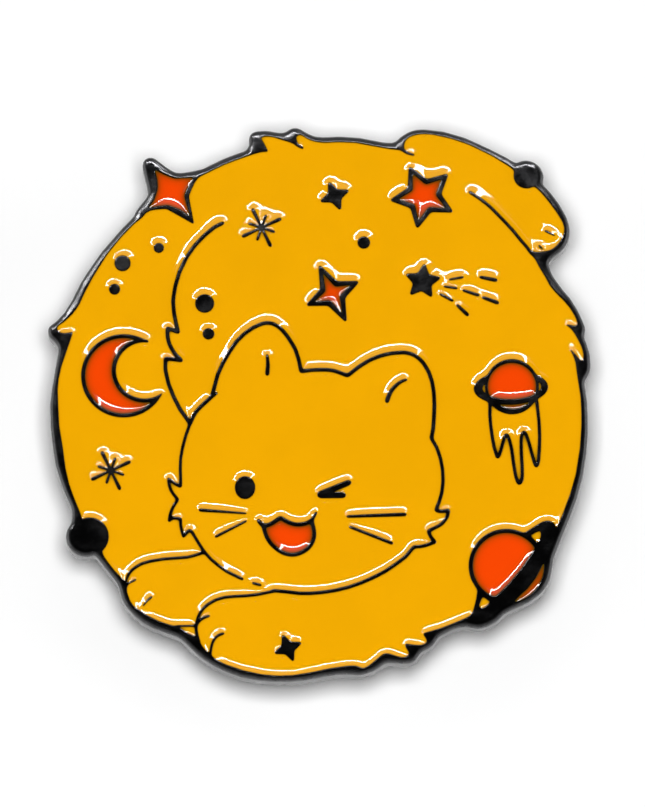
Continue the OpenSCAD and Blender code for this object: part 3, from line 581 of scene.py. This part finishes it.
def grown(name, points, lines, tree, **sizes):
    """Runs a geometry tree on a line or on nothing and returns its result as a plain piece."""
    mesh = bpy.data.meshes.new(name + "_path")
    mesh.from_pydata([tuple(p) for p in points], lines, [])
    carrier = bpy.data.objects.new(name + "_path", mesh)
    bpy.context.collection.objects.link(carrier)
    nodes = carrier.modifiers.new("shape", "NODES")
    nodes.node_group = tree
    for item in tree.interface.items_tree:
        if item.in_out == "INPUT" and item.name in sizes:
            nodes[item.identifier] = sizes[item.name]
    carrier.update_tag()
    ready = carrier.evaluated_get(bpy.context.evaluated_depsgraph_get())
    plain = bpy.data.meshes.new_from_object(ready)
    carrier.modifiers.remove(nodes)
    bpy.data.objects.remove(carrier)
    made = bpy.data.objects.new(name, plain)
    bpy.context.collection.objects.link(made)
    return made


ring_tree, start, end = shape_tree("ring of dimples", [
    ("Centre", "NodeSocketVector"), ("Count", "NodeSocketInt"), ("Ring", "NodeSocketFloat"),
    ("Size", "NodeSocketVector")])
circle = added(ring_tree, "GeometryNodeMeshCircle", {
    "Vertices": start.outputs["Count"], "Radius": start.outputs["Ring"]})
dimple = added(ring_tree, "GeometryNodeMeshUVSphere", {
    "Segments": 20, "Rings": 10, "Radius": 1.0})
row_of = added(ring_tree, "GeometryNodeInstanceOnPoints", {
    "Points": circle.outputs[0], "Instance": dimple.outputs[0],
    "Scale": start.outputs["Size"]})
placed = added(ring_tree, "GeometryNodeTransform", {
    "Geometry": row_of.outputs[0], "Translation": start.outputs["Centre"]})
finished(ring_tree, start, end, placed.outputs[0])

cap_low, cap_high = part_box("left_cap")
cap_r = (cap_high.x - cap_low.x) / 2 / MM
cap_top, cap_base, sheet, hole = cap_high.z / MM, cap_low.z / MM, 0.3, 0.85
lip_in = cap_r - 0.8
cap_side = (bend((hole + 0.09, cap_top - 0.09), 0.09, 180, 90)
            + [(1.55, cap_top), (1.75, cap_top - 0.05), (2.0, cap_top - 0.05), (2.2, cap_top)]
            + bend((cap_r - 0.34, cap_top - 0.34), 0.34, 90, 0, 9)
            + bend((cap_r - 0.24, cap_base + 0.24), 0.24, 0, -90, 7)
            + bend((lip_in + 0.13, cap_base + 0.13), 0.13, -90, -180)
            + bend((lip_in + 0.1, cap_base + sheet - 0.1), 0.1, 180, 90)
            + bend((cap_r - sheet - 0.05, cap_base + sheet + 0.05), 0.05, -90, 0, 3)
            + bend((cap_r - sheet - 0.12, cap_top - sheet - 0.12), 0.12, 0, 90)
            + bend((hole + 0.06, cap_top - sheet + 0.06), 0.06, 270, 180, 3))
for side, x in axes.items():
    cap = turned(f"{side}_clutch_cap", cap_side + cap_side[:1], x, nickel)
    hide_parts(f"{side}_cap")
    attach(cap, f"{side}_cap")
    dimples = grown(f"{side}_cap_dimples", [], [], ring_tree, Centre=(
        x * MM, 0, (cap_top - 0.03) * MM), Count=10, Ring=3.5 * MM,
        Size=(0.42 * MM, 0.42 * MM, 0.1 * MM), Finish=nickel)
    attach(dimples, f"{side}_cap")

# ---- Clutch springs ----
# One bent sheet of nickel-plated spring steel in each cap: a disc, two jaws that grip the
# post, and two wings. Pinching the wings opens the jaws. The wings are ribbed for the fingers.

DISC_COLLAR = 0.1      # mm, how far the disc is drawn down round its hole
RIB_COUNT = 4
RIB = (1.15 * MM, 0.3 * MM, 0.15 * MM)      # half its length, width and height
RIB_RUN = ((4.16, -5.15), (4.4, -5.75), (4.66, -6.3), (4.88, -6.75))    # mm, Y and Z on a wing
CUT_ROUND = 0.045      # mm, radius of the sheet's cut edges

disc_low, disc_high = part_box("left_spring_base")
disc_r = (disc_high.x - disc_low.x) / 2 / MM
disc_top, disc_base = disc_high.z / MM, disc_low.z / MM
disc_side = (bend((1.06, disc_top - 0.06), 0.06, 180, 90, 4)
             + bend((disc_r - 0.1, disc_top - 0.1), 0.1, 90, 0)
             + bend((disc_r - 0.1, disc_base + 0.1), 0.1, 0, -90)
             + [(1.7, disc_base), (1.55, disc_base - 0.3 * DISC_COLLAR),
                (1.4, disc_base - DISC_COLLAR), (1.08, disc_base - DISC_COLLAR),
                (1.0, disc_base - 0.6 * DISC_COLLAR)])

rib_tree, start, end = shape_tree("ribs along a sheet", [
    ("Count", "NodeSocketInt"), ("Size", "NodeSocketVector")])
path = added(rib_tree, "GeometryNodeMeshToCurve", {"Mesh": start.outputs["Geometry"]})
steps = added(rib_tree, "GeometryNodeResampleCurve", {
    "Curve": path.outputs[0], "Count": start.outputs["Count"]})
bead = added(rib_tree, "GeometryNodeMeshUVSphere", {"Segments": 24, "Rings": 12, "Radius": 1.0})
ribs = added(rib_tree, "GeometryNodeInstanceOnPoints", {
    "Points": steps.outputs[0], "Instance": bead.outputs[0], "Scale": start.outputs["Size"]})
finished(rib_tree, start, end, ribs.outputs[0])


def softened(node, name, finish):
    """A CAD piece of bent sheet with its doubles merged and its cut edges rounded off."""
    shell = bmesh.new()
    shell.from_mesh(frame["nodes"][node].data)
    bmesh.ops.remove_doubles(shell, verts=shell.verts, dist=2e-6)
    flat = [e for e in shell.edges if len(e.link_faces) == 2 and e.calc_face_angle() < 0.01]
    bmesh.ops.dissolve_edges(shell, edges=flat, use_verts=False)
    bmesh.ops.dissolve_limit(shell, angle_limit=0.01, verts=shell.verts, edges=shell.edges)
    cut = [e for e in shell.edges if len(e.link_faces) == 2 and e.calc_face_angle() > 0.9]
    bmesh.ops.bevel(shell, geom=cut, offset=CUT_ROUND * MM, segments=3, profile=0.5,
                    affect="EDGES", clamp_overlap=True)
    bmesh.ops.triangulate(shell, faces=shell.faces)
    mesh = bpy.data.meshes.new(name)
    shell.to_mesh(mesh)
    shell.free()
    mesh.shade_smooth()
    mesh.set_sharp_from_angle(angle=math.radians(40))
    mesh.materials.clear()
    mesh.materials.append(finish)
    made = bpy.data.objects.new(name, mesh)
    bpy.context.collection.objects.link(made)
    return made


for side, x in axes.items():
    disc = turned(f"{side}_spring_disc", disc_side + disc_side[:1], x, nickel)
    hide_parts(f"{side}_spring_base")
    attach(disc, f"{side}_spring")
    for node, body, way in ((f"{side}_wing_a", f"{side}_upper_wing", -1),
                            (f"{side}_wing_b", f"{side}_lower_wing", 1)):
        wing = softened(node, node.replace("wing_a", "upper_jaw_and_wing").replace(
            "wing_b", "lower_jaw_and_wing"), nickel)
        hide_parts(node)
        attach(wing, body)
        run = [(x * MM, way * y * MM, z * MM) for y, z in RIB_RUN]
        ribs = grown(f"{body}_ribs", run, [(0, 1), (1, 2), (2, 3)], rib_tree, Count=RIB_COUNT,
                     Size=RIB, Finish=nickel)
        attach(ribs, body)

# ---- Floor, lamps and camera ----
# The pin stands on its posts on a sheet of matt white paper, under soft lamps on stands, and
# the camera looks down on it, a little from the side of its lower edge.

FRAME_WIDE = 0.0446    # m, what the camera takes in across
CAMERA_FAR = 1.2       # m, from the lens to the pin

floor_mesh = bpy.data.meshes.new("pale sheet")
reach, ground_z = 0.6, cad_box[0].z
floor_mesh.from_pydata([(x * reach, y * reach, ground_z) for x, y in (
    (-1, -1), (1, -1), (1, 1), (-1, 1))], [], [(0, 1, 2, 3)])
floor = bpy.data.objects.new("pale sheet", floor_mesh)
bpy.context.collection.objects.link(floor)
paper, tree, shader, place = finish_of("pale paper", Roughness=0.9)
shader.inputs["Base Color"].default_value = (0.97, 0.97, 0.97, 1)
shader.inputs["Specular IOR Level"].default_value = 0.0
floor_mesh.materials.append(paper)

world = bpy.data.worlds.new("room")
world.use_nodes = True
world.node_tree.nodes["Background"].inputs["Color"].default_value = (1, 1, 1, 1)
world.node_tree.nodes["Background"].inputs["Strength"].default_value = 0.03
bpy.context.scene.world = world


def lamp(name, start, stop, wide, brightness, far=0.4):
    """A soft lamp over the pin: its two ends as X and Y of a way to it, its width in degrees."""
    ends = [Vector((x, y, math.sqrt(1 - x * x - y * y))) * far for x, y in (start, stop)]
    light = bpy.data.lights.new(name, "AREA")
    light.shape = "RECTANGLE"
    light.size = 2 * far * math.tan(math.radians(wide / 2))
    light.size_y = (ends[1] - ends[0]).length
    light.energy = brightness * math.pi * light.size * light.size_y
    along = (ends[1] - ends[0]).normalized()
    middle = (ends[0] + ends[1]) / 2
    across = along.cross(middle).normalized()
    way = across.cross(along)
    made = bpy.data.objects.new(name, light)
    made.matrix_world = Matrix((
        (across.x, along.x, way.x, middle.x), (across.y, along.y, way.y, middle.y),
        (across.z, along.z, way.z, middle.z), (0, 0, 0, 1)))
    bpy.context.collection.objects.link(made)
    return made


# a dim pane with a bright frame stands beyond the pin's upper edge and draws its highlights
lamp("pane", (-0.46, 0.59), (0.26, 0.59), 32, 0.6)
for name, start, stop, wide, brightness in (
        ("frame near", (-0.24, 0.345), (0.1, 0.345), 1.4, 75),
        ("frame left", (-0.24, 0.345), (-0.62, 0.56), 1.6, 40),
        ("frame right", (0.1, 0.345), (0.36, 0.72), 1.4, 40)):
    lamp(name, start, stop, wide, brightness).visible_diffuse = False
lamp("left side", (-0.87, -0.35), (-0.87, 0.35), 30, 1.3)
lamp("right side", (0.84, -0.35), (0.84, 0.35), 34, 1.3)
# the main light comes from behind the camera, and the gloss doesn't mirror it
lamp("main", (-0.1, -0.16), (0.1, -0.16), 12, 68).visible_glossy = False

camera = bpy.data.cameras.new("camera")
camera.sensor_fit = "HORIZONTAL"
camera.lens = camera.sensor_width * CAMERA_FAR / FRAME_WIDE
camera.clip_end = 10
eye = bpy.data.objects.new("camera", camera)
lean = math.radians(78)     # above the paper
look_at = Vector((0.0002, 0.0, plate_high.z))
eye.location = look_at + CAMERA_FAR * Vector((0, -math.cos(lean), math.sin(lean)))
eye.rotation_euler = (math.radians(90) - lean, 0, 0)
bpy.context.collection.objects.link(eye)
bpy.context.scene.camera = eye
bpy.context.scene.view_settings.view_transform = "Standard"
